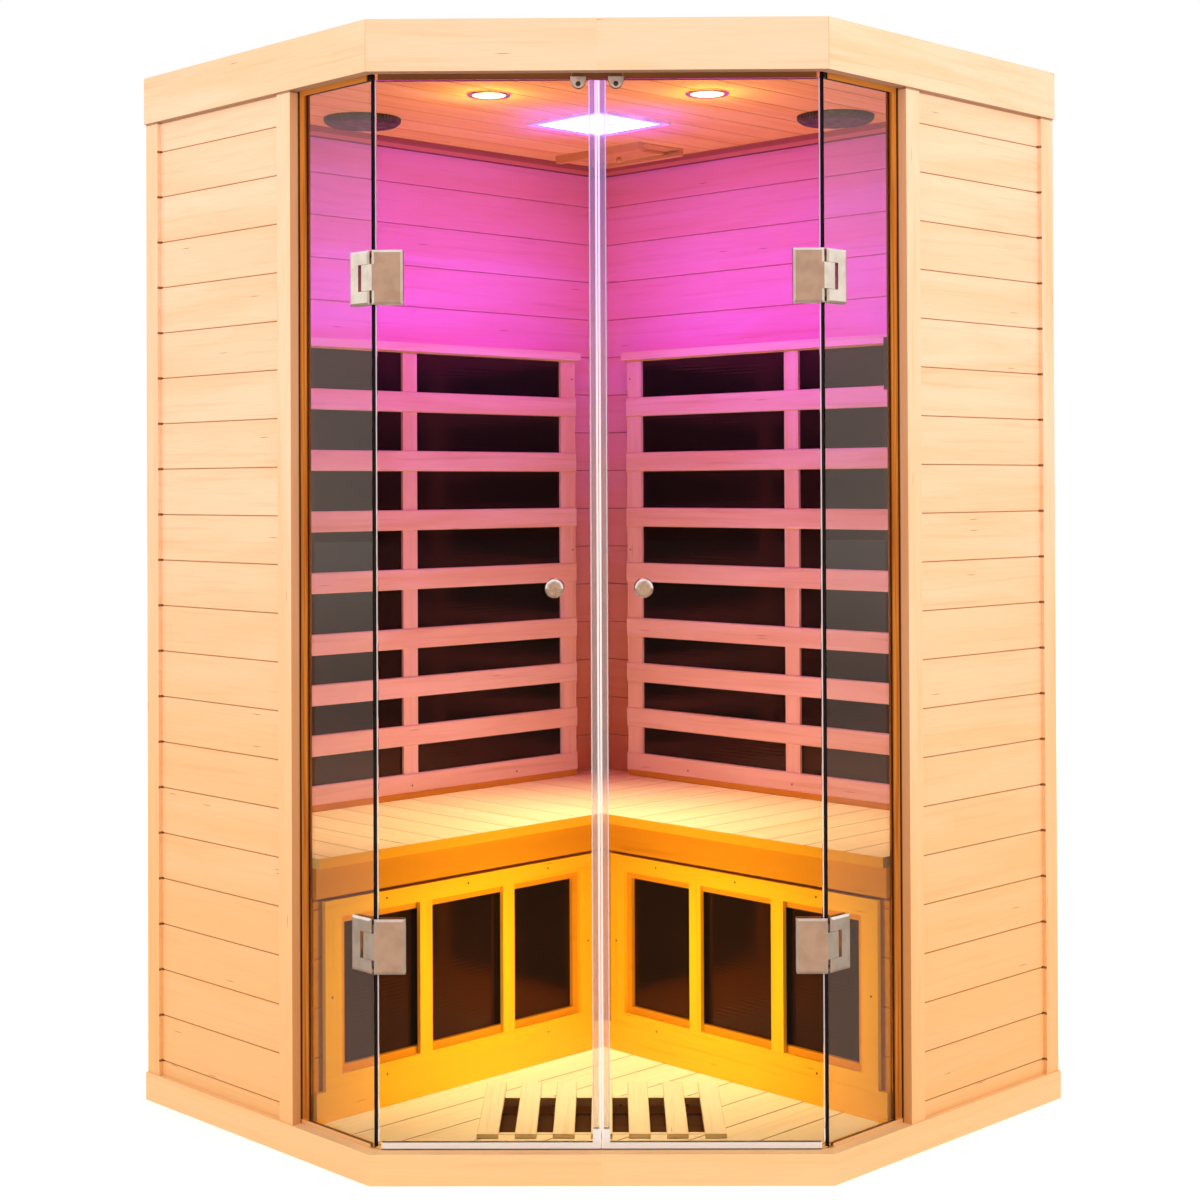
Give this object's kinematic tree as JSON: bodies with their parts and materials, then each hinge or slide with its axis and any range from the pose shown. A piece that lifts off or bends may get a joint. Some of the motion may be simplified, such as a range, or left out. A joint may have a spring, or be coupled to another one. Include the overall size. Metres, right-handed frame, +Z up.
{
  "type": "corner infrared sauna cabin",
  "caption": "Corner infrared sauna cabin of boarded wood with a cut-off glass front, swinging glass doors, corner bench, slatted backrests over heater panels and a boarded roof.",
  "frame": {"origin": "on the floor, below the middle of the bounding box", "axes": "+Z up, -Y towards the glass doors, +X to the right of a person facing the doors"},
  "size_m": [1.697, 1.3186, 1.9],
  "materials": {
    "pale_wood": "satin sanded softwood",
    "inner_wood": "satin sanded softwood",
    "brown_channel": "satin brown coating",
    "clear_glass": "clear toughened glass",
    "clear_seal": "clear soft plastic",
    "satin_nickel": "satin nickel",
    "steel": "plain steel",
    "chrome": "polished chrome",
    "heater_black": "dark glossy carbon panel",
    "light_white": "white diffuser",
    "speaker_grey": "dark grey grille",
    "box_steel": "plain grey box",
    "dark_plastic": "dark satin plastic"
  },
  "bodies": {
    "cabin": {"base_platform": "pale_wood", "floor_deck": "inner_wood", "foot_heater": "heater_black", "foot_grille": "inner_wood", "ceiling_panel": "inner_wood", "roof_cover": "pale_wood", "fascia_front": "pale_wood", "fascia_back": "pale_wood", "left_fascia": "pale_wood", "right_fascia": "pale_wood", "light_panel": "light_white", "vent_frame": "inner_wood", "power_box": "box_steel", "door_catch": "dark_plastic", "control_panel": "dark_plastic", "left_back_wall": "pale_wood", "left_side_wall": "pale_wood", "left_fixed_glass": "clear_glass", "left_glass_channel": "brown_channel", "left_bench_seat": "inner_wood", "left_bench_front": "inner_wood", "left_heater_frame": "inner_wood", "left_low_heater": "heater_black", "left_backrest_grille": "inner_wood", "left_back_heater": "heater_black", "left_spotlight": "chrome", "left_speaker": "speaker_grey", "left_lower_hinge_fixed_leaf": "satin_nickel", "left_lower_hinge_pin": "steel", "left_upper_hinge_fixed_leaf": "satin_nickel", "left_upper_hinge_pin": "steel", "right_back_wall": "pale_wood", "right_side_wall": "pale_wood", "right_fixed_glass": "clear_glass", "right_glass_channel": "brown_channel", "right_bench_seat": "inner_wood", "right_bench_front": "inner_wood", "right_heater_frame": "inner_wood", "right_low_heater": "heater_black", "right_backrest_grille": "inner_wood", "right_back_heater": "heater_black", "right_spotlight": "chrome", "right_speaker": "speaker_grey", "right_lower_hinge_fixed_leaf": "satin_nickel", "right_lower_hinge_pin": "steel", "right_upper_hinge_fixed_leaf": "satin_nickel", "right_upper_hinge_pin": "steel"},
    "left_door": {"left_door_glass": "clear_glass", "left_door_seal": "clear_seal", "left_knob": "chrome", "left_strike_clip": "chrome", "left_lower_hinge_door_leaf": "satin_nickel", "left_upper_hinge_door_leaf": "satin_nickel"},
    "right_door": {"right_door_glass": "clear_glass", "right_door_seal": "clear_seal", "right_knob": "chrome", "right_strike_clip": "chrome", "right_lower_hinge_door_leaf": "satin_nickel", "right_upper_hinge_door_leaf": "satin_nickel"},
    "vent_slide": {"vent_slide": "inner_wood"}
  },
  "joints": [
    {"name": "left_door_hinge", "type": "hinge", "parent": "cabin", "child": "left_door", "pos_m": [-0.37645, -0.62173, 0.9315], "axis": [0, 0, -1], "range_deg": [0, 90]},
    {"name": "right_door_hinge", "type": "hinge", "parent": "cabin", "child": "right_door", "pos_m": [0.37645, -0.62173, 0.9315], "axis": [0, 0, 1], "range_deg": [0, 90]},
    {"name": "vent_slide", "type": "slide", "parent": "cabin", "child": "vent_slide", "axis": [0.7071, -0.7071, 0], "range_m": [0, 0.09]}
  ]
}
